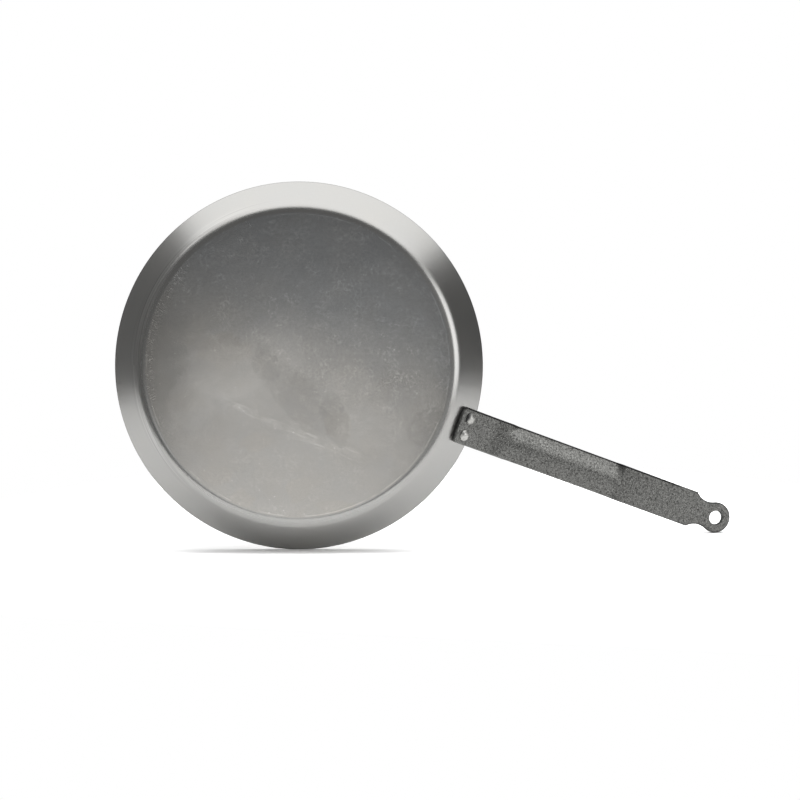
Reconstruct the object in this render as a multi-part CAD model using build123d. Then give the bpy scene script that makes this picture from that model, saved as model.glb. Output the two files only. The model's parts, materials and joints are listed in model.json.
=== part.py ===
from build123d import *
from math import asin, cos, degrees, pi, radians, sin, sqrt, tan
import os

# Crepe pan in millimetres, +Z up. The base rests on z = 0, the pan's axis is Z, and the handle points
# along +X. The handle lies against the outside of the flared wall and is held by two rivets.

# Pan body, pressed from one sheet
rim_diameter = 260.0           # over the rim's outer edge, before it is bevelled
pan_height = 21.5              # base to the top of the rim
pan_sheet = 2.5
wall_slope = 46.0              # degrees from the base
base_corner_radius = 10.5      # outside of the bend between base and wall
rim_edge_bevel = 0.4

# Handle, cut from strip and formed
strip_width = 26.0
strip_thickness = 3.2
strip_edge_bevel = 0.9         # all round both faces, along the strip and the eyelet
root_overlap = 17.1            # root's edge to the rim, along the wall
root_end_radius = 56.0         # bow of the root's cut end, seen square to the strip
root_corner_cut = 1.3          # how far the root's end falls back at its two corners
rise_past_rim = 8.6            # straight rise beyond the rim, before the bend
bend_radius = 25.0             # inside of the bend, on the handle's underside
handle_slope = 16.5            # degrees from the base, past the bend
handle_reach = 189.4           # rim to the middle of the hanging hole, along X

# Grip, pressed into an arch across the strip so that its middle stands out below
grip_lead = 5.0                # end of the bend to the start of the pressing
grip_length = 96.0
grip_runout = 9.0              # length over which the arch rises and fades
grip_arch_radius = 26.5        # on the hollow upper face

# Eyelet at the handle's end
eye_radius = 11.1
hole_diameter = 10.0
hole_edge_bevel = 0.5
neck_width = 17.9              # narrowest place, between the shoulders and the eyelet
neck_arc_radius = 13.6
shoulder_radius = 1.2
plate_lead = 14.0              # plain strip ahead of the shoulders

# Rivets
rivet_spacing = 12.2           # middle to middle, across the strip
rivet_setback = 8.6            # root's edge to the rivets, along the wall
rivet_shank_diameter = 5.0
rivet_hole_clearance = 0.05    # round the shank, on the radius
outer_head_diameter = 8.2
outer_head_height = 2.9
outer_head_edge = 0.4          # short straight side under the dome
inner_head_diameter = 9.0
inner_head_height = 1.8
inner_head_bevel = 1.1         # all round the flat top

# Fits
seat_gap = 0.05                # paint film between the handle and the wall
head_gap = 0.05                # under each rivet head, which is flat on a slightly round surface
overrun = 10.0                 # how far cutting shapes run past what they cut

# Steps between the handle's cross-sections, where its shape changes along the strip
rise_steps = 4
bend_steps = 6
runout_steps = 5

slope = radians(wall_slope)
grip_slope = radians(handle_slope)
rim_radius = rim_diameter / 2
outer_rim_height = pan_height - pan_sheet * cos(slope)
strip_half = strip_width / 2


def wall_point(down_from_rim):
    """Point on the wall's outer surface in the XZ plane, measured along the wall from the rim."""
    return (rim_radius - down_from_rim * cos(slope), outer_rim_height - down_from_rim * sin(slope))


def make_pan_body():
    """Base, corner and wall as one revolved sheet with a square-cut rim, pierced for the rivets."""
    knee = rim_radius - outer_rim_height / tan(slope)
    inner_knee = knee - pan_sheet * tan(slope / 2)
    inner_rim = (rim_radius - pan_sheet * sin(slope), pan_height)
    outline = Polyline((0, 0), (knee, 0), (rim_radius, outer_rim_height), inner_rim,
                       (inner_knee, pan_sheet), (0, pan_sheet), close=True)
    section = make_face(outline)
    corners = section.vertices()
    section = fillet(corners.sort_by_distance((knee, 0))[0], base_corner_radius)
    inner_corner = section.vertices().sort_by_distance((inner_knee, pan_sheet))[0]
    section = fillet(inner_corner, base_corner_radius - pan_sheet)
    rim_corners = section.vertices().sort_by(Axis.Y)[-2:]
    section = chamfer(rim_corners, rim_edge_bevel)
    body = revolve(Plane.XZ * section, Axis.Z)
    for side in (-1, 1):
        body -= rivet_hole(side)
    return body


# The handle follows the line where its upper face would touch the wall: up along the wall, round the
# bend, and straight on to the hanging hole. Distances along this line start at the root's cut end.
bend_line_radius = bend_radius + strip_thickness
bend_start = root_overlap + rise_past_rim
bend_end = bend_start + bend_line_radius * (slope - grip_slope)
root_x, root_z = wall_point(root_overlap)
root_x += seat_gap * sin(slope)
root_z -= seat_gap * cos(slope)
bend_x = root_x + bend_start * cos(slope)
bend_z = root_z + bend_start * sin(slope)
straight_x = bend_x + bend_line_radius * (sin(slope) - sin(grip_slope))
straight_z = bend_z + bend_line_radius * (cos(grip_slope) - cos(slope))
hole_at = bend_end + (rim_radius + handle_reach - straight_x) / cos(grip_slope)
grip_start = bend_end + grip_lead
grip_end = grip_start + grip_length

neck_centre_y = neck_width / 2 + neck_arc_radius
neck_centre_x = -sqrt((eye_radius + neck_arc_radius) ** 2 - neck_centre_y ** 2)
shoulder_x = neck_centre_x - sqrt(neck_arc_radius ** 2 - (neck_centre_y - strip_half) ** 2)
plate_start = hole_at + shoulder_x - plate_lead


def line_slope(along):
    """Slope of the handle's line, in radians."""
    if along <= bend_start:
        return slope
    if along >= bend_end:
        return grip_slope
    return slope - (along - bend_start) / bend_line_radius


def line_point(along):
    """Point of the handle's line, as (x, z)."""
    if along <= bend_start:
        return (root_x + along * cos(slope), root_z + along * sin(slope))
    if along >= bend_end:
        past = along - bend_end
        return (straight_x + past * cos(grip_slope), straight_z + past * sin(grip_slope))
    turned = line_slope(along)
    return (bend_x + bend_line_radius * (sin(slope) - sin(turned)),
            bend_z + bend_line_radius * (cos(turned) - cos(slope)))


def ease(share):
    """Smooth step from 0 to 1."""
    share = min(max(share, 0), 1)
    return share * share * (3 - 2 * share)


def arch_curvature(along):
    """Curvature across the strip: the wall's cone at the root, flat, arched in the grip, flat again."""
    on_wall = min(along, root_overlap)
    cone = sin(slope) / line_point(on_wall)[0]
    leaving = ease((along - root_overlap) / (bend_end - root_overlap))
    rising = ease((along - grip_start) / grip_runout)
    fading = ease((grip_end - along) / grip_runout)
    return cone * (1 - leaving) + min(rising, fading) / grip_arch_radius


def strip_section(along):
    """Cross-section of the strip with bevelled edges, bent across to the curvature it has there."""
    x, z = line_point(along)
    turned = line_slope(along)
    plane = Plane(origin=(x, 0, z), x_dir=(0, 1, 0), z_dir=(cos(turned), 0, sin(turned)))
    curvature = arch_curvature(along)

    def spot(across, depth):
        if curvature == 0:
            return (across, -depth)
        radius = 1 / curvature
        angle = across / (radius + strip_thickness / 2)
        return ((radius + depth) * sin(angle), radius - (radius + depth) * cos(angle))

    def face_line(start, depth, end):
        if curvature == 0:
            return Line(spot(start, depth), spot(end, depth))
        return ThreePointArc(spot(start, depth), spot(0, depth), spot(end, depth))

    flat = strip_half - strip_edge_bevel
    deep = strip_thickness - strip_edge_bevel
    outline = Curve() + [
        face_line(-flat, 0, flat),
        Polyline(spot(flat, 0), spot(strip_half, strip_edge_bevel), spot(strip_half, deep),
                 spot(flat, strip_thickness)),
        face_line(flat, strip_thickness, -flat),
        Polyline(spot(-flat, strip_thickness), spot(-strip_half, deep),
                 spot(-strip_half, strip_edge_bevel), spot(-flat, 0)),
    ]
    return plane * make_face(outline)


def make_stretch(start, end, steps):
    """Stretch of the strip, lofted through its cross-sections. In one step it runs straight."""
    stations = [start + (end - start) * step / steps for step in range(steps + 1)]
    return loft([strip_section(along) for along in stations], ruled=steps == 1)


def make_formed_strip():
    """Root, bend and pressed grip, one stretch after another."""
    strip = make_stretch(-overrun, root_overlap, 1)
    strip += make_stretch(root_overlap, bend_start, rise_steps)
    strip += make_stretch(bend_start, bend_end, bend_steps)
    strip += make_stretch(bend_end, grip_start, 1)
    strip += make_stretch(grip_start, grip_start + grip_runout, runout_steps)
    strip += make_stretch(grip_start + grip_runout, grip_end - grip_runout, 1)
    strip += make_stretch(grip_end - grip_runout, grip_end, runout_steps)
    strip += make_stretch(grip_end, plate_start, 1)
    return strip


def make_root_waste():
    """What is cut off ahead of the root: all outside a bowed end with two broken corners."""
    x, z = line_point(0)
    plane = Plane(origin=(x, 0, z), x_dir=(cos(slope), 0, sin(slope)), z_dir=(-sin(slope), 0, cos(slope)))
    wide = strip_width + 2 * overrun
    ahead = Pos((root_end_radius - 2 * overrun) / 2, 0) * Rectangle(root_end_radius + 2 * overrun, wide)
    bowed = Pos(root_end_radius, 0) * Circle(root_end_radius)
    end_back = root_end_radius - sqrt(root_end_radius ** 2 - strip_half ** 2)
    waste = ahead - bowed
    for side in (-1, 1):
        tip = (end_back, side * strip_half)
        waste += Pos(*tip) * Rot(0, 0, -side * 45) * Rectangle(root_corner_cut * sqrt(2), overrun)
    return extrude(plane * waste, amount=overrun, both=True)


def make_eye_plate():
    """Flat end of the strip: shoulders, waisted neck and round eyelet with its hanging hole."""
    x, z = line_point(hole_at)
    plane = Plane(origin=(x, 0, z), x_dir=(cos(grip_slope), 0, sin(grip_slope)),
                  z_dir=(-sin(grip_slope), 0, cos(grip_slope)))
    start_x = shoulder_x - plate_lead
    meet_share = eye_radius / (eye_radius + neck_arc_radius)
    meet = (neck_centre_x * meet_share, neck_centre_y * meet_share)
    narrow = (neck_centre_x, neck_width / 2)
    outline = Curve() + [
        Line((start_x, -strip_half), (start_x, strip_half)),
        Line((start_x, strip_half), (shoulder_x, strip_half)),
        ThreePointArc((shoulder_x, strip_half), narrow, meet),
        ThreePointArc(meet, (eye_radius, 0), (meet[0], -meet[1])),
        ThreePointArc((meet[0], -meet[1]), (narrow[0], -narrow[1]), (shoulder_x, -strip_half)),
        Line((shoulder_x, -strip_half), (start_x, -strip_half)),
    ]
    shape = make_face(outline)
    for side in (-1, 1):
        corner = shape.vertices().sort_by_distance((shoulder_x, side * strip_half))[0]
        shape = fillet(corner, shoulder_radius)
    plate = extrude(shape, amount=-strip_thickness)
    rims = plate.edges().group_by(Axis.Z)[0] + plate.edges().group_by(Axis.Z)[-1]
    rims = [edge for edge in rims if edge.center().X > start_x + plate_lead / 4]
    plate = chamfer(rims, strip_edge_bevel)
    plate -= Pos(0, 0, -strip_thickness / 2) * Cylinder(hole_diameter / 2, strip_thickness + overrun)
    hole_rims = plate.edges().filter_by(GeomType.CIRCLE).filter_by(
        lambda edge: abs(edge.radius - hole_diameter / 2) < hole_edge_bevel)
    plate = chamfer(hole_rims, hole_edge_bevel)
    return plane * plate


def make_handle():
    """Formed strip with its eyelet, trimmed at the root and pierced for the rivets."""
    handle = make_formed_strip() + make_eye_plate()
    handle -= make_root_waste()
    for side in (-1, 1):
        handle -= rivet_hole(side)
    return handle


def rivet_seat(side):
    """Where a rivet crosses the wall's outer surface, with Z square to the wall and pointing out."""
    radius, height = wall_point(root_overlap - rivet_setback)
    azimuth = side * degrees(asin(rivet_spacing / 2 / radius))
    plane = Plane(origin=(radius, 0, height), x_dir=(0, 1, 0), z_dir=(sin(slope), 0, -cos(slope)))
    return Rot(0, 0, azimuth) * plane.location


def rivet_hole(side):
    radius = rivet_shank_diameter / 2 + rivet_hole_clearance
    return rivet_seat(side) * Cylinder(radius, 2 * overrun)


def make_rivet(side):
    """Solid rivet: high dome outside on the strip, low flat-topped head inside the pan, shank between."""
    outer_seat = seat_gap + strip_thickness + head_gap
    inner_seat = -pan_sheet - head_gap
    outer_half = outer_head_diameter / 2
    inner_half = inner_head_diameter / 2
    shank = rivet_shank_diameter / 2
    top = (0, outer_seat + outer_head_height)
    bottom = inner_seat - inner_head_height
    outline = Curve() + [
        Line((0, bottom), top),
        TangentArc(top, (outer_half, outer_seat + outer_head_edge), tangent=(1, 0)),
        Polyline((outer_half, outer_seat + outer_head_edge), (outer_half, outer_seat),
                 (shank, outer_seat), (shank, inner_seat), (inner_half, inner_seat),
                 (inner_half, bottom + inner_head_bevel), (inner_half - inner_head_bevel, bottom),
                 (0, bottom)),
    ]
    rivet = revolve(Plane.XZ * make_face(outline), Axis.Z)
    return rivet_seat(side) * rivet


def report_places():
    """Prints the hanging hole's place and direction, and the strip's straight wall in it."""
    x, z = line_point(hole_at)
    middle_x = x + sin(grip_slope) * strip_thickness / 2
    middle_z = z - cos(grip_slope) * strip_thickness / 2
    print("hanging hole", round(middle_x, 3), 0, round(middle_z, 3))
    print("its axis", round(-sin(grip_slope), 6), 0, round(cos(grip_slope), 6))
    print("its straight wall", strip_thickness - 2 * hole_edge_bevel)


parts = {
    "pan_body": make_pan_body(),
    "handle": make_handle(),
    "rivet_left": make_rivet(1),
    "rivet_right": make_rivet(-1),
}
os.makedirs("parts", exist_ok=True)
for node, shape in parts.items():
    export_step(shape, "parts/" + node + ".step")
report_places()
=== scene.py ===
import json
import math

import bpy
from mathutils import Matrix, Vector

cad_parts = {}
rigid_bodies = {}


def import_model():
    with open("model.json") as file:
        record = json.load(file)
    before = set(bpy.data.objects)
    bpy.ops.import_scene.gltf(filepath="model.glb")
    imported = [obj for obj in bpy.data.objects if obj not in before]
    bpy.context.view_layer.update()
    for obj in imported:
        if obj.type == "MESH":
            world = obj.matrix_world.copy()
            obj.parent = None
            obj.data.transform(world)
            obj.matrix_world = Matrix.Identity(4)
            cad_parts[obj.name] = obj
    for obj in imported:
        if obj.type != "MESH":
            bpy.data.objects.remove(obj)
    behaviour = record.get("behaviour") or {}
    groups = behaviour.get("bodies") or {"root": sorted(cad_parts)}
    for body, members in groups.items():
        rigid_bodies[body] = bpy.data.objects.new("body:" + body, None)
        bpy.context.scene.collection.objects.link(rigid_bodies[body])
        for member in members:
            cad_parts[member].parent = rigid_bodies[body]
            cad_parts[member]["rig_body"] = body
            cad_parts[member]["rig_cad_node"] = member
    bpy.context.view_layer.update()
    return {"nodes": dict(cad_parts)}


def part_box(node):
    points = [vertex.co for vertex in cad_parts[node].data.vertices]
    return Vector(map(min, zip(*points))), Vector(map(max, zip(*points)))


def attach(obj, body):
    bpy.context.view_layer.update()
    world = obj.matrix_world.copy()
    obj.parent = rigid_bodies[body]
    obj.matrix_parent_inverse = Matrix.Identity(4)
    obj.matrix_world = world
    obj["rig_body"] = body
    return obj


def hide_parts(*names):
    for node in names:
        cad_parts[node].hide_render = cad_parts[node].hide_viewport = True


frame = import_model()

# Metres throughout. The pan's axis is Z, its base rests on z = 0 and the handle points along +X. The
# photograph looks straight at the underside, with the pan standing on its rim and on the handle's eyelet.

# Pan
RIM_RADIUS = 0.130
PAN_HEIGHT = 0.0215
SHEET = 0.0025
WALL_SLOPE = math.radians(46)
CORNER_RADIUS = 0.0105
RIM_BEVEL = 0.0004
ROUND_SEGMENTS = 256
CORNER_STEPS = 12
WALL_STEPS = 8
BASE_RINGS = 9

# Radii of what shows on the pan's finish
PALE_LINE_RADIUS = 0.1056                  # thin paler line, just inside the base's edge
BASE_EDGE = (0.106, 0.1075)    # where the flat base turns into the corner
CORNER = (0.1072, 0.1115)      # from the base's edge to the wall
WALL_START = 0.1109            # where wall and base would meet without the rounded corner
PRESSED_FROM = (0.1085, 0.1115)
PRESSED_TO = (0.1155, 0.119)
# The cut rim's band, which painted shade darkens
CUT_RIM = (0.1291, 0.1297)

# Handle
NARROW_FACE = 0.003            # faces of the strip narrower than this are its edges
FLAT_ANGLE = math.radians(30)  # meeting faces turn less than this where the steel is smooth
WELD = 1e-6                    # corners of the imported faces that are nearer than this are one
EYELET_NECK = (0.285, 0.29)    # along X, where the strip narrows to the eyelet
RIVETS = ("rivet_left", "rivet_right")

# Camera
HANDLE_TURN = math.radians(20.08)  # below level, as the handle lies in the picture
CAMERA_DISTANCE = 2.0              # to the plane of the rim
CAMERA_RIGHT = 0.07125             # from the pan's axis
CAMERA_UP = -0.0244
LENS = 127.6                       # millimetres, on a sensor 36 mm wide

RIGHT = Vector((math.cos(HANDLE_TURN), -math.sin(HANDLE_TURN), 0))
UP = Vector((-math.sin(HANDLE_TURN), -math.cos(HANDLE_TURN), 0))
TOWARD = Vector((0, 0, -1))
ALONG_X, ALONG_Y, ALONG_Z = (1, 0, 0), (0, 1, 0), (0, 0, 1)

# Floor
MOST_LEAN = math.radians(20)
LEAN_TRIALS = 40
TABLE_SIZE = 1.7
TABLE_MIDDLE = (0.12, -0.6)    # to the right and to the front, before it is turned
TABLE_TURN = math.radians(13)  # with its right side forward
TABLE_GREY = 0.85              # as the steel and the paint see it
TABLE_WHITE = 1.6              # as the camera sees it
TABLE_GLOW = 0.02              # added for the camera
TABLE_CLEAR = (0.33, 0.4)      # from these distances round the pan, the camera sees through the table

# Room round the object, as a share of white
DOME_RADIUS = 3.5
DARK_ROOM = 0.14
LIGHT_ROOM = 0.3
BESIDE_CAMERA = 0.1
HORIZON = 0.18
RIGHT_SHADE = 0.08


class Socket:
    """A value in a material, with Python's operators adding its Math nodes."""

    def __init__(self, nodes, output):
        self.nodes, self.output = nodes, output

    def maths(self, operation, *others):
        return self.nodes.add("ShaderNodeMath", {"operation": operation}, [self, *others])

    def __add__(self, other):
        return self.maths("ADD", other)

    def __sub__(self, other):
        return self.maths("SUBTRACT", other)

    def __rsub__(self, other):
        return self.nodes.add("ShaderNodeMath", {"operation": "SUBTRACT"}, [other, self])

    def __mul__(self, other):
        return self.maths("MULTIPLY", other)

    def __truediv__(self, other):
        return self.maths("DIVIDE", other)

    __radd__ = __add__
    __rmul__ = __mul__

    def absolute(self):
        return self.maths("ABSOLUTE")

    def least(self, other):
        return self.maths("MINIMUM", other)

    def most(self, other):
        return self.maths("MAXIMUM", other)

    def smooth(self, start, end):
        """0 on start's side, 1 on end's side, and a smooth step between them. End may be the lower one."""
        step = self.nodes.add("ShaderNodeMapRange", {"interpolation_type": "SMOOTHSTEP"},
                              {"Value": self, "From Min": min(start, end), "From Max": max(start, end)})
        return 1 - step if start > end else step


class Nodes:
    """Shader nodes of one material or world, all added by one method."""

    def __init__(self, tree):
        self.tree = tree
        self.tree.nodes.clear()

    def add(self, kind, settings, values, output=0):
        """Adds a node, applies its settings, then sets or links its sockets, and returns an output."""
        node = self.tree.nodes.new(kind)
        for name, value in settings.items():
            setattr(node, name, value)
        for name, value in values.items() if isinstance(values, dict) else enumerate(values):
            if isinstance(value, Socket):
                self.tree.links.new(value.output, node.inputs[name])
            else:
                node.inputs[name].default_value = value
        return Socket(self, node.outputs[output]) if node.outputs else None

    def mix(self, share, first, second):
        """Colour that goes from first to second as share goes from 0 to 1."""
        return self.add("ShaderNodeMix", {"data_type": "RGBA"}, {0: share, 6: first, 7: second}, 2)

    def times(self, place, share):
        """A place or colour times a number."""
        return self.add("ShaderNodeVectorMath", {"operation": "SCALE"}, {0: place, "Scale": share})

    def vector(self, operation, *values, output=0):
        return self.add("ShaderNodeVectorMath", {"operation": operation}, list(values), output)

    def along(self, place, direction):
        return self.vector("DOT_PRODUCT", place, direction, output="Value")

    def distance(self, here, there):
        return self.vector("DISTANCE", here, there, output="Value")

    def length(self, place):
        return self.vector("LENGTH", place, output="Value")

    def angle(self, place):
        """How far round its origin a flat place lies, in radians."""
        return self.along(place, ALONG_Y).maths("ARCTAN2", self.along(place, ALONG_X))

    def lay(self, across, up):
        """A flat place from its two measures."""
        return self.add("ShaderNodeCombineXYZ", {}, [across, up])

    def emission(self, strength):
        return self.add("ShaderNodeEmission", {}, {"Color": self.times((1, 1, 1), strength)})


class Finish(Nodes):
    """A material, drawn on its object's own coordinates."""

    def __init__(self, name):
        self.material = bpy.data.materials.new(name)
        self.material.use_nodes = True
        super().__init__(self.material.node_tree)
        self.place = self.add("ShaderNodeTexCoord", {}, {}, "Object")

    def noise(self, size, place=None, detail=2.0):
        """Noise about 0, between -0.5 and 0.5, whose features are about size wide."""
        values = {"Vector": place or self.place, "Scale": 1 / size, "Detail": detail}
        return self.add("ShaderNodeTexNoise", {}, values) - 0.5

    def wander(self, place, size, reach):
        """The place moved about by up to reach, so that what is drawn there has an uneven outline."""
        values = {"Vector": place, "Scale": 1 / size, "Detail": 3.0}
        drift = self.add("ShaderNodeTexNoise", {}, values, "Color")
        return self.vector("MULTIPLY_ADD", self.vector("SUBTRACT", drift, (0.5,) * 3), (2 * reach,) * 3, place)

    def cells(self, size, place, feature="F1"):
        """Distance from the nearest cell's middle, in cells."""
        values = {"Vector": place, "Scale": 1 / size}
        return self.add("ShaderNodeTexVoronoi", {"feature": feature}, values, "Distance")

    def turned(self, place, turn):
        """A flat place measured along and across a direction."""
        way, side = directions(turn)
        return self.lay(self.along(place, way), self.along(place, side))

    def spot(self, place, middle, reach, turn=0, edge=0.5):
        """1 inside an ellipse given in millimetres and degrees, fading to 0 over its outer part."""
        way, side = directions(turn)
        half_length, half_width = millimetres(*reach)
        away = self.vector("SUBTRACT", place, (*millimetres(*middle), 0))
        share = self.length(self.lay(self.along(away, way / half_length), self.along(away, side / half_width)))
        return share.smooth(1 + edge, 1 - edge)

    def stroke(self, place, start, end, start_width, end_width):
        """1 along a line given in millimetres, which widens to its end, fading to 0 at its sides."""
        start, end = Vector((*millimetres(*start), 0)), Vector((*millimetres(*end), 0))
        start_width, end_width = millimetres(start_width, end_width)
        line = end - start
        away = self.vector("SUBTRACT", place, start)
        share = self.along(away, line / line.length_squared).least(1.0).most(0.0)
        width = share * (end_width - start_width) + start_width
        return (self.distance(away, self.times(line, share)) / width).smooth(1.0, 0.2)

    def bump(self, height):
        """Surface normal of a relief whose height is in metres."""
        return self.add("ShaderNodeBump", {}, {"Height": height, "Distance": 1.0, "Strength": 1.0})

    def surface(self, shader):
        self.add("ShaderNodeOutputMaterial", {}, {"Surface": shader})
        return self.material

    def principled(self, **values):
        """The material with these sockets of the main shader, underscores standing for spaces."""
        sockets = {name.replace("_", " "): value for name, value in values.items()}
        return self.surface(self.add("ShaderNodeBsdfPrincipled", {}, sockets))


def colour(red, green, blue):
    return (red, green, blue, 1)


def grey(tone):
    return colour(tone, tone, tone)


def millimetres(*lengths):
    return tuple(length / 1000 for length in lengths)


def directions(turn):
    """Along and across a direction in a flat place, turned by so many degrees."""
    turn = math.radians(turn)
    return Vector((math.cos(turn), math.sin(turn), 0)), Vector((-math.sin(turn), math.cos(turn), 0))


# Marks on the base's underside, in millimetres to the right and up from its middle as it faces the camera
SCRATCH = ((-60, -18), (-43, -28), (-6, -45), (13, -53), (27, -58), (41, -62))
SCRATCH_WIDTHS = (6.0, 4.5, 4.5, 6.0, 7.0, 5.0)
FINE_SCRATCHES = (((-48, -25), (-9, -45)), ((-45, -28), (-24, -37)), ((-30, -32), (3, -47)),
                  ((-12, -48), (22, -58)), ((4, -47), (17, -51)), ((-71, -12), (-50, -24)),
                  ((14, -56), (38, -66)), ((-3, -40), (5, -44)))
FINE_WIDTHS = (0.9, 0.6)       # at their start and at their end
# Middle, half length, half width and change of tone of the paler and darker areas painted as the base's
# reflection
PAINTED_REFLECTION_AREAS = ((-46, -4, 33, 27, 0.2), (-10, 16, 22, 18, 0.1), (-98, -2, 20, 44, -0.14), (32, 6, 26, 20, 0.02))
# Middle, half length and half width
RUBBED_SPOTS = ((-9.4, 10.2, 15, 14), (36, -14.2, 16, 15), (-51, -4, 28, 20), (52, -42, 22, 17),
                (-75, -25, 15, 20))
WARM_SPOTS = ((-56, -78.5, 9, 5), (-38.7, -93, 6, 4), (0, -87, 7, 6), (27.5, -99, 12, 4), (-30, -54, 9, 5),
              (28, -42, 8, 8), (-52, 12, 14, 9))
# Middle, half length, half width and turn in degrees
STAINED_SPOTS = ((-2, -21, 40, 13, -48), (26, -38, 20, 9, -80), (-22, 2, 14, 9, -75), (88, -44, 14, 10, 40))
STREAKS_TURN = -22             # degrees
STREAKS_FINENESS = (60, 700, 1)  # streaks in a metre, along them and across
# Middle and reach
STRUCK_SPOTS = ((-84.8, 61.9, 8), (-96.7, 38.9, 6), (-101, 22, 4), (-102.5, 5, 4), (-35, 99, 7))


def rubbed_stained_and_painted_reflection(finish, face, streaks):
    """Tone and warmth of the broad marks: rubbed spots and stains, which come from the hob and from oil, and
    paler and darker areas painted as reflection.
    """
    uneven = finish.wander(face, 0.012, 0.006)
    tone = finish.noise(0.02, face, 4.0) * 0.05
    warmth = finish.noise(0.022, face, 4.0) * 0.5
    for right, up, half_length, half_width in RUBBED_SPOTS:
        tone += finish.spot(uneven, (right, up), (half_length, half_width), edge=0.12) * 0.05
    # Painted reflection: broad paler areas, and a darker one at the base's left edge.
    for right, up, half_length, half_width, change in PAINTED_REFLECTION_AREAS:
        tone += finish.spot(face, (right, up), (half_length, half_width), edge=0.7) * change
    for right, up, half_length, half_width in WARM_SPOTS:
        warmth += finish.spot(uneven, (right, up), (half_length, half_width)) * 0.6
    stain = 0.0
    for right, up, half_length, half_width, turn in STAINED_SPOTS:
        stain += finish.spot(uneven, (right, up), (half_length, half_width), turn, 0.15)
    patchy = finish.noise(0.011, face, 3.0).smooth(0.02, 0.12)
    spared = finish.noise(0.006, face, 4.0) * 0.1 + streaks.smooth(0.0, 0.15) * patchy * 0.09
    return tone - stain * (0.075 - spared), warmth


def scratches(finish, face, streaks):
    """Tone of the long scratch, which fades here and there, and of the finer ones beside it."""
    near = finish.wander(face, 0.03, 0.0025)
    scratch = hairs = 0.0
    for start, end, start_width, end_width in zip(SCRATCH, SCRATCH[1:], SCRATCH_WIDTHS, SCRATCH_WIDTHS[1:]):
        scratch = finish.stroke(near, start, end, start_width, end_width).most(scratch)
    for start, end in FINE_SCRATCHES:
        hairs = finish.stroke(near, start, end, *FINE_WIDTHS).most(hairs)
    from_left = finish.along(face, ALONG_X).smooth(-0.066, -0.04)
    faded = finish.noise(0.014, face).smooth(-0.16, 0.04) * from_left
    broken = finish.noise(0.008, face).smooth(-0.15, 0.1)
    return scratch * faded * (0.05 + streaks.smooth(-0.06, 0.14) * 0.1) + hairs * (broken * 0.1)


def rolled_grain(finish, face):
    """Tone of the sheet's rolled grain and pale veins, plainer below, and of a few bright specks."""
    upper_part = finish.along(face, (0.4, 0.9, 0)).smooth(-0.03, 0.03)
    broken = finish.noise(0.012, face).smooth(-0.05, 0.1)
    veins = finish.noise(0.004, face, 3.0).absolute().smooth(0.03, 0.01) * broken
    rolled = finish.noise(0.0022, face, 3.0)
    specks = finish.cells(0.004, face).smooth(0.12, 0.05) * finish.noise(0.007, face).smooth(0.0, 0.1)
    return (veins * 0.18 + rolled * 0.2) * (upper_part * 0.8 + 0.4) + specks * 0.5


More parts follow.
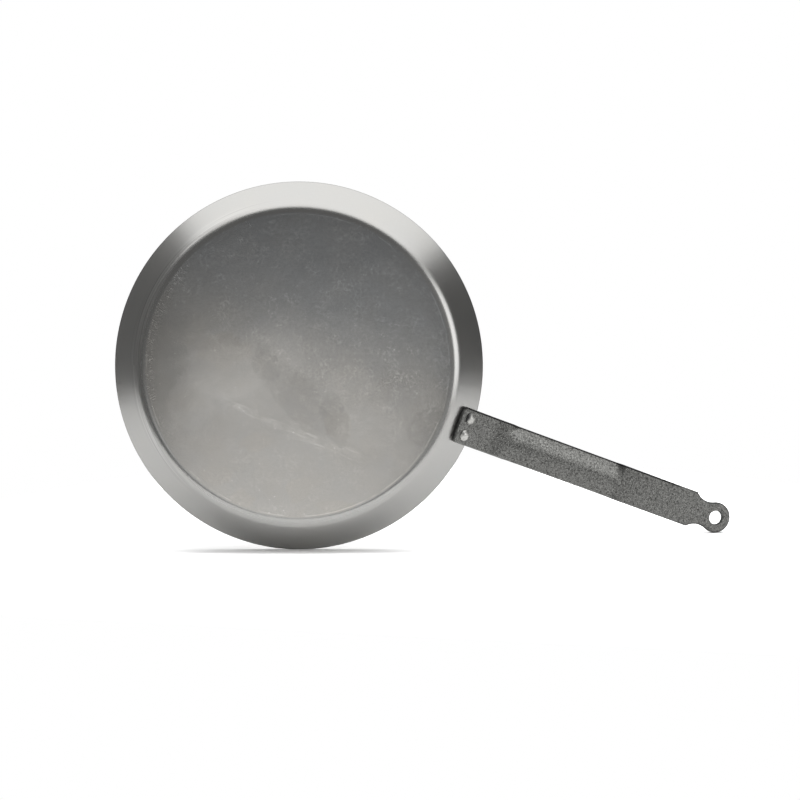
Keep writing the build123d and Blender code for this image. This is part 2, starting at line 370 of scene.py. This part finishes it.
def bare_steel():
    """Bare pressed steel: rolled grain, an old polish, scratches and stains under the base, a thin paler line
    inside its edge, paler and darker areas under the base painted as its reflection, and a cut rim darkened as
    painted shade.
    """
    finish = Finish("bare_steel")
    face = finish.lay(finish.along(finish.place, RIGHT), finish.along(finish.place, UP))
    radius, turn = finish.length(face), finish.angle(face)
    height = finish.along(finish.place, ALONG_Z)
    left = finish.along(face, (-1, 0.25, 0)) / radius

    # 1 on the base's underside, on the wall's outside and on the cut rim; the cut rim is darkened as painted
    # shade
    under = radius.smooth(*reversed(BASE_EDGE)) * height.smooth(0.0016, 0.0009)
    outside = (height - (radius - WALL_START).most(0.0) * math.tan(WALL_SLOPE)).smooth(0.0024, 0.0016)
    rim = radius.smooth(*CUT_RIM)

    def hairlines(round_about, skew, outward):
        """Noise drawn out along the radius, at a slant."""
        return finish.noise(1.0, finish.lay(turn * round_about + radius * skew, radius * outward))

    # Hairline scuffs round the left edge, small fans where it was struck, and a thin paler line just inside the
    # base's edge, broken here and there
    rays = hairlines(150, 400, 210).most(hairlines(150, -550, 190))
    worn_radius = finish.noise(0.008, face) * 0.006 + radius
    scuffs = rays.smooth(0.07, 0.2) * worn_radius.smooth(0.0975, 0.1045) * left.smooth(0.72, 0.97)
    for right, up, reach in STRUCK_SPOTS:
        away = finish.vector("SUBTRACT", face, (*millimetres(right, up), 0))
        near = finish.length(away) / (reach / 1000)
        fan = finish.noise(1.0, finish.lay(finish.angle(away) * 3.5, near * 0.6))
        scuffs += fan.smooth(0.08, 0.16) * near.smooth(1.0, 0.1)
    pale_line = (radius - PALE_LINE_RADIUS).absolute().smooth(0.0006, 0.0001) * finish.noise(0.02).smooth(-0.05, 0.1)

    # Rings left by the press at the wall's lower part
    rings = finish.noise(1.0, finish.lay(turn * 1.6, radius * 1150))
    pressed = rings * radius.smooth(*PRESSED_FROM) * radius.smooth(*reversed(PRESSED_TO)) * left.smooth(0.2, 0.9)

    drawn_out = finish.vector("MULTIPLY", finish.turned(face, STREAKS_TURN), STREAKS_FINENESS)
    streaks = finish.noise(1.0, drawn_out, 3.0)
    broad, warmth = rubbed_stained_and_painted_reflection(finish, face, streaks)
    marks = broad + scratches(finish, face, streaks) + rolled_grain(finish, face)
    grain, clouds = finish.noise(0.0011), finish.noise(0.03, detail=4.0)
    # The cut rim is darkened by 40 % as painted shade.
    tone = (1 + grain * 0.05 + clouds * 0.03 + (marks + scuffs * 0.35 + pale_line * 0.22) * under
            + pressed * outside * 1.1 - rim * 0.4)
    aged = finish.along(face, (-0.3, -0.95, 0)).smooth(-0.065, 0.01) * 0.75 - 0.4
    warm = (warmth + aged) * under + clouds * 0.4 + 0.5
    shade = finish.mix(warm, colour(0.54, 0.55, 0.553), colour(0.572, 0.553, 0.517))
    rough = 0.2 + radius.smooth(*CORNER) * 0.1 + clouds * 0.03 + scuffs * under * 0.1
    relief = finish.noise(0.035) * 0.0001 + grain * 0.000005 + rings * 0.000001
    return finish.principled(Base_Color=finish.times(shade, tone), Metallic=1.0, Roughness=rough,
                             Normal=finish.bump(relief))


def upper_margin(finish, inner, outer):
    """1 along the strip's upper side in the photograph, from its margin out, and 0 on the eyelet. It marks where
    the paint and its edges are darkened as painted shade.
    """
    strip = finish.along(finish.place, ALONG_X).smooth(*reversed(EYELET_NECK))
    return finish.along(finish.place, (0, -1, 0)).smooth(inner, outer) * strip


def hammer_paint():
    """Grey hammer-finish paint: small lumps of aluminium-flake lacquer with darker valleys between them,
    darkened as painted shade along the upper margin and at the root end.
    """
    finish = Finish("hammer_paint")
    lumps = finish.cells(0.0011, finish.wander(finish.place, 0.002, 0.0004), "SMOOTH_F1")
    flake = finish.noise(0.0007)
    clouds = finish.noise(0.012, detail=3.0)
    root_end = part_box("handle")[0][0]
    root_edge = finish.along(finish.place, ALONG_X).smooth(root_end + 0.0013, root_end + 0.0007)
    # Painted shade: the paint darkens along the strip's upper margin and at its root end.
    painted_shade_margin = upper_margin(finish, 0.0115, 0.0121).most(root_edge)
    tone = (1.4 - lumps * 1.3 + flake * 1.7 + clouds * 0.12) * (1 - painted_shade_margin * 0.85)
    relief = lumps * -0.00006 + flake * 0.00002 + clouds * 0.00003
    return finish.principled(Base_Color=finish.times((0.211, 0.211, 0.202), tone), Metallic=0.95,
                             Roughness=0.245 + lumps * 0.06, Normal=finish.bump(relief))


def worn_edge():
    """Thin dark paint along the strip's sheared edges: nearly black on the upper ones and at the root end, as
    painted shade, and a paler grey on the lower ones, as painted light, dimmer towards the grip's end and the
    eyelet.
    """
    finish = Finish("worn_edge")
    wear = finish.noise(0.0025, detail=4.0)
    along = finish.along(finish.place, ALONG_X)
    past_root, eyelet = along.smooth(0.1185, 0.1215), along.smooth(0.29, 0.3)
    grip_end = along.smooth(0.21, 0.25)
    # Painted light and shade: the lower edges turn a paler grey, the upper ones and the root end nearly black.
    painted_light_side = (1 - upper_margin(finish, 0.0105, 0.0115)) * past_root * (1 - grip_end * 0.4 - eyelet * 0.3)
    shade = finish.mix(painted_light_side, grey(0.03), colour(0.24, 0.24, 0.23))
    return finish.principled(Base_Color=finish.times(shade, 1 + wear * 0.9), Metallic=0.0,
                             Roughness=0.55 + wear * 0.2, Normal=finish.bump(wear * 0.00003),
                             Specular_IOR_Level=0.15)


def rivet_steel():
    """Bright upset rivet heads with fine scuffs from the hammer, and a dark grey crescent of painted shade on
    the upper left side of each.
    """
    finish = Finish("rivet_steel")
    grain, dents = finish.noise(0.0006, detail=3.0), finish.noise(0.002)
    outward = (math.sin(WALL_SLOPE), 0, -math.cos(WALL_SLOPE))
    # The side of each head that painted shade darkens, up and to the left as the camera sees it.
    shaded_side = (UP * 0.5 - RIGHT * 0.85).normalized()
    painted_crescent = 0.0
    for name in RIVETS:
        low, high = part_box(name)
        away = finish.vector("SUBTRACT", finish.place, (Vector(low) + Vector(high)) / 2)
        outer_head = finish.along(away, outward).smooth(0.0, 0.0015) * finish.length(away).smooth(0.02, 0.015)
        side = finish.along(away, shaded_side) + grain * 0.002
        painted_crescent = (side.smooth(-0.0003, 0.0016) * outer_head).most(painted_crescent)
    # Painted shade: the crescent turns each head dark grey.
    shade = finish.mix(painted_crescent, colour(0.68, 0.675, 0.65), grey(0.1))
    return finish.principled(Base_Color=finish.times(shade, 1 + grain * 0.2 + dents * 0.15), Metallic=1.0,
                             Roughness=0.42 + dents * 0.15 + painted_crescent * 0.1,
                             Normal=finish.bump(grain * 0.00001 + dents * 0.00005))


def deselect_all():
    bpy.ops.object.select_all(action="DESELECT")


def pan_profile():
    """The sheet's outline from the flat base's underside round the rim to its upper side, as (r, z)."""
    along = Vector((math.cos(WALL_SLOPE), math.sin(WALL_SLOPE)))
    across = Vector((-math.sin(WALL_SLOPE), math.cos(WALL_SLOPE)))
    outer_rim = Vector((RIM_RADIUS, PAN_HEIGHT - SHEET * math.cos(WALL_SLOPE)))
    inner_rim = outer_rim + SHEET * across
    knee = outer_rim.x - outer_rim.y / math.tan(WALL_SLOPE)
    flat_radius = knee - CORNER_RADIUS * math.tan(WALL_SLOPE / 2)

    def corner(radius, turn):
        return Vector((flat_radius + radius * math.sin(turn), CORNER_RADIUS - radius * math.cos(turn)))

    turns = [WALL_SLOPE * step / CORNER_STEPS for step in range(CORNER_STEPS + 1)]
    outer_corner = [corner(CORNER_RADIUS, turn) for turn in turns]
    inner_corner = [corner(CORNER_RADIUS - SHEET, turn) for turn in reversed(turns)]
    outer_top = outer_rim - RIM_BEVEL * along
    inner_top = inner_rim - RIM_BEVEL * along
    outer_wall = [outer_corner[-1].lerp(outer_top, step / WALL_STEPS) for step in range(1, WALL_STEPS + 1)]
    inner_wall = [inner_top.lerp(inner_corner[0], step / WALL_STEPS) for step in range(WALL_STEPS)]
    rim = [outer_rim + RIM_BEVEL * across, inner_rim - RIM_BEVEL * across]
    return outer_corner + outer_wall + rim + inner_wall + inner_corner


def fill_disc(radius):
    """In edit mode: concentric rings inside the selected round face, and a fan at its middle."""
    for _ in range(BASE_RINGS):
        bpy.ops.mesh.inset(thickness=radius / (BASE_RINGS + 1), depth=0)
    bpy.ops.mesh.poke()


def make_pan():
    """The pressed sheet, drawn up ring by ring from the flat base's underside to its upper side."""
    outline = pan_profile()
    deselect_all()
    bpy.ops.mesh.primitive_circle_add(vertices=ROUND_SEGMENTS, radius=outline[0].x, fill_type="NOTHING")
    pan = bpy.context.object
    pan.name = "pan"
    bpy.ops.object.mode_set(mode="EDIT")
    bpy.ops.mesh.select_all(action="SELECT")
    for here, there in zip(outline, outline[1:]):
        bpy.ops.mesh.extrude_region_move(TRANSFORM_OT_translate={"value": (0, 0, there.y - here.y)})
        wider = there.x / here.x
        bpy.ops.transform.resize(value=(wider, wider, 1), center_override=(0, 0, 0))
    bpy.ops.mesh.edge_face_add()
    fill_disc(outline[-1].x)
    bpy.ops.mesh.select_all(action="DESELECT")
    bpy.ops.mesh.select_non_manifold()
    bpy.ops.mesh.edge_face_add()
    fill_disc(outline[0].x)
    bpy.ops.mesh.select_all(action="SELECT")
    bpy.ops.mesh.normals_make_consistent(inside=False)
    bpy.ops.object.mode_set(mode="OBJECT")
    bpy.ops.object.shade_smooth_by_angle(angle=FLAT_ANGLE)
    pan.data.materials.append(bare_steel())
    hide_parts("pan_body")
    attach(pan, "root")


def narrow_polygons(mesh):
    """Numbers of the polygons that lie on a narrow face of the solid, while each face is its own island."""
    parent = list(range(len(mesh.vertices)))

    def root(vertex):
        while parent[vertex] != vertex:
            parent[vertex] = parent[parent[vertex]]
            vertex = parent[vertex]
        return vertex

    uses = {}
    for polygon in mesh.polygons:
        for edge in polygon.edge_keys:
            parent[root(edge[0])] = root(edge[1])
            uses[edge] = uses.get(edge, 0) + 1
    area, border = {}, {}
    for polygon in mesh.polygons:
        island = root(polygon.vertices[0])
        area[island] = area.get(island, 0) + polygon.area
    for (first, second), count in uses.items():
        if count == 1:
            length = (mesh.vertices[first].co - mesh.vertices[second].co).length
            border[root(first)] = border.get(root(first), 0) + length
    narrow = {island for island in area if 2 * area[island] / border[island] < NARROW_FACE}
    return [polygon.index for polygon in mesh.polygons if root(polygon.vertices[0]) in narrow]


def make_handle():
    """The strip handle, its faces joined into one smooth skin, with its narrow edges picked out for dark paint
    with painted light and shade.
    """
    deselect_all()
    handle = frame["nodes"]["handle"].copy()
    handle.data = handle.data.copy()
    handle.name = "strip_handle"
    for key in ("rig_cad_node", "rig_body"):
        del handle[key]
    bpy.context.scene.collection.objects.link(handle)
    handle.parent = None
    handle.data.materials.clear()
    handle.data.materials.append(hammer_paint())
    handle.data.materials.append(worn_edge())
    for polygon in narrow_polygons(handle.data):
        handle.data.polygons[polygon].material_index = 1
    bpy.context.view_layer.objects.active = handle
    handle.select_set(True)
    bpy.ops.object.mode_set(mode="EDIT")
    bpy.ops.mesh.select_all(action="SELECT")
    bpy.ops.mesh.customdata_custom_splitnormals_clear()
    bpy.ops.mesh.remove_doubles(threshold=WELD)
    bpy.ops.object.mode_set(mode="OBJECT")
    bpy.ops.object.shade_smooth_by_angle(angle=FLAT_ANGLE)
    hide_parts("handle")
    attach(handle, "root")


def finish_rivets():
    steel = rivet_steel()
    for name in RIVETS:
        rivet = frame["nodes"][name]
        rivet.data.materials.clear()
        rivet.data.materials.append(steel)


def lowest(node, normal):
    """How far a node's mesh reaches along the floor's normal, at its lowest."""
    return min(normal.dot(vertex.co) for vertex in frame["nodes"][node].data.vertices)


def floor_normal(lean):
    return UP * math.cos(lean) + TOWARD * math.sin(lean)


def find_lean():
    """How far the pan leans back, standing on its rim and on the handle's eyelet."""
    low, high = 0.0, MOST_LEAN
    for _ in range(LEAN_TRIALS):
        middle = (low + high) / 2
        normal = floor_normal(middle)
        if lowest("handle", normal) > lowest("pan_body", normal):
            low = middle
        else:
            high = middle
    return low


LEAN = find_lean()
FLOOR_UP = floor_normal(LEAN)
FLOOR_FRONT = TOWARD * math.cos(LEAN) - UP * math.sin(LEAN)
FLOOR_HEIGHT = lowest("pan_body", FLOOR_UP)


def studio(right, front, high):
    """A place in the studio, from the point of the floor that is under the pan's middle."""
    return RIGHT * right + FLOOR_FRONT * front + FLOOR_UP * (high + FLOOR_HEIGHT)


def facing(place, target):
    """Matrix at place whose Z points away from target, as a lamp looks."""
    away = (place - target).normalized()
    side = FLOOR_UP.cross(away)
    upright = side.length < 1e-3
    side = RIGHT.copy() if upright else side.normalized()
    rows = Matrix((side, away.cross(side), away)).transposed()
    return Matrix.Translation(place) @ rows.to_4x4()


def make_floor():
    """White table under the pan, seen only from its upper side. Far from the pan it is clear to the camera."""
    deselect_all()
    bpy.ops.mesh.primitive_plane_add(size=1)
    table = bpy.context.object
    table.name = "table"
    flat = Matrix((RIGHT, -FLOOR_FRONT, FLOOR_UP)).transposed().to_4x4()
    turn = Matrix.Rotation(-TABLE_TURN, 4, "Z")
    shift = Matrix.Translation((TABLE_MIDDLE[0], -TABLE_MIDDLE[1], 0))
    size = Matrix.Diagonal((TABLE_SIZE, TABLE_SIZE, 1, 1))
    table.matrix_world = Matrix.Translation(studio(0, 0, 0)) @ flat @ turn @ shift @ size
    bpy.ops.object.transform_apply()
    finish = Finish("table_white")
    back = finish.add("ShaderNodeNewGeometry", {}, {}, "Backfacing")
    seen = finish.add("ShaderNodeLightPath", {}, {}, "Is Camera Ray")
    far = finish.distance(finish.place, studio(0.1, 0, 0)).smooth(*TABLE_CLEAR)
    hidden = 1 - (1 - back) * (1 - far * seen)
    shade = finish.mix(seen, grey(TABLE_GREY), grey(TABLE_WHITE))
    white = finish.add("ShaderNodeBsdfDiffuse", {}, {"Color": shade})
    both = finish.add("ShaderNodeAddShader", {}, [white, finish.emission(seen * TABLE_GLOW)])
    clear = finish.add("ShaderNodeBsdfTransparent", {}, {})
    table.data.materials.append(finish.surface(finish.add("ShaderNodeMixShader", {}, [hidden, both, clear])))
    return table


def make_dome():
    """Dark room round the object, for its reflections alone."""
    deselect_all()
    bpy.ops.mesh.primitive_uv_sphere_add(segments=48, ring_count=24, radius=DOME_RADIUS,
                                         location=studio(0, 0, 0))
    dome = bpy.context.object
    dome.name = "dark_room"
    bpy.ops.object.transform_apply()
    finish = Finish("dark_room")

    def towards(direction):
        """How far a place on the dome lies towards a direction, from -1 to 1."""
        return finish.along(finish.place, direction) / DOME_RADIUS

    right = towards(RIGHT)
    behind_pan = towards(ALONG_Z).smooth(0.2, 0.8)
    beside = towards((RIGHT * 0.37 + TOWARD * 0.93).normalized()).smooth(0.9, 0.99)
    level = (towards(FLOOR_UP) + 0.02).absolute().smooth(0.12, 0.04)
    horizon = level * towards(FLOOR_FRONT).smooth(0.85, 0.95) * (1 + right.smooth(0.0, -0.2) * 2)
    radiance = (DARK_ROOM + behind_pan * (LIGHT_ROOM - DARK_ROOM) + beside * BESIDE_CAMERA + horizon * HORIZON
                - right.smooth(0.6, 0.9) * RIGHT_SHADE)
    dome.data.materials.append(finish.surface(finish.emission(radiance)))
    finish.material.cycles.emission_sampling = "NONE"
    dome.visible_camera = False
    dome.visible_shadow = False


def add_lamp(name, place, target, width, depth, radiance, turn=0.0, shape="RECTANGLE"):
    """A flat lamp of a given radiance, out of the camera's sight."""
    lamp = bpy.data.lights.new(name, "AREA")
    lamp.shape = shape
    lamp.size, lamp.size_y = width, depth
    filled = math.pi / 4 if shape == "DISK" else 1
    lamp.energy = radiance * math.pi * width * depth * filled
    lamp_object = bpy.data.objects.new(name, lamp)
    lamp_object.matrix_world = facing(place, target) @ Matrix.Rotation(turn, 4, "Z")
    lamp_object.visible_camera = False
    bpy.context.scene.collection.objects.link(lamp_object)
    return lamp_object


def light_floor_alone(lamp, floor):
    """Keeps a lamp's light to the floor, where everything still throws its shadow."""
    group = bpy.data.collections.new("floor_alone")
    group.objects.link(floor)
    lamp.light_linking.receiver_collection = group


def light_studio(floor):
    """Broad lamp overhead, one on the right, a small card in front, and one for the floor and its shadow."""
    add_lamp("overhead", studio(0.09, -0.09, 1.13), studio(0.09, -0.09, 0),
             width=2.05, depth=1.3, radiance=1.22, turn=-TABLE_TURN)
    add_lamp("key", studio(1.36, 0.94, 0.58), studio(0.07, 0, 0.58), width=0.98, depth=1.1, radiance=1.6)
    add_lamp("front_card", studio(-0.05, 1.48, 0.19), studio(0, 0, 0.13),
             width=0.4, depth=0.4, radiance=0.64, shape="DISK")
    floor_lamp = add_lamp("floor_lamp", studio(0.18, -0.08, 1.13), studio(0.18, -0.08, 0),
                          width=1.7, depth=0.4, radiance=4.7)
    light_floor_alone(floor_lamp, floor)


def make_camera():
    camera = bpy.data.objects.new("camera", bpy.data.cameras.new("camera"))
    camera.data.lens = LENS
    camera.data.clip_end = 100
    rim_height = PAN_HEIGHT - SHEET * math.cos(WALL_SLOPE)
    place = RIGHT * CAMERA_RIGHT + UP * CAMERA_UP + TOWARD * (CAMERA_DISTANCE - rim_height)
    camera.matrix_world = Matrix.Translation(place) @ Matrix((RIGHT, UP, TOWARD)).transposed().to_4x4()
    bpy.context.scene.collection.objects.link(camera)
    bpy.context.scene.camera = camera


def make_world():
    """White behind everything, and as dim as the dark room where it lights the object."""
    world = bpy.data.worlds.new("studio")
    world.use_nodes = True
    nodes = Nodes(world.node_tree)
    camera, glossy, through = (nodes.add("ShaderNodeLightPath", {}, {}, ray)
                               for ray in ("Is Camera Ray", "Is Glossy Ray", "Is Transmission Ray"))
    seen = (camera + glossy + through).least(1.0)
    white = nodes.times((1, 1, 1), seen * (1 - DARK_ROOM) + DARK_ROOM)
    background = nodes.add("ShaderNodeBackground", {}, {"Color": white})
    nodes.add("ShaderNodeOutputWorld", {}, {"Surface": background})
    bpy.context.scene.world = world


make_pan()
make_handle()
finish_rivets()
table = make_floor()
make_dome()
light_studio(table)
make_camera()
make_world()
bpy.context.scene.view_settings.view_transform = "Standard"
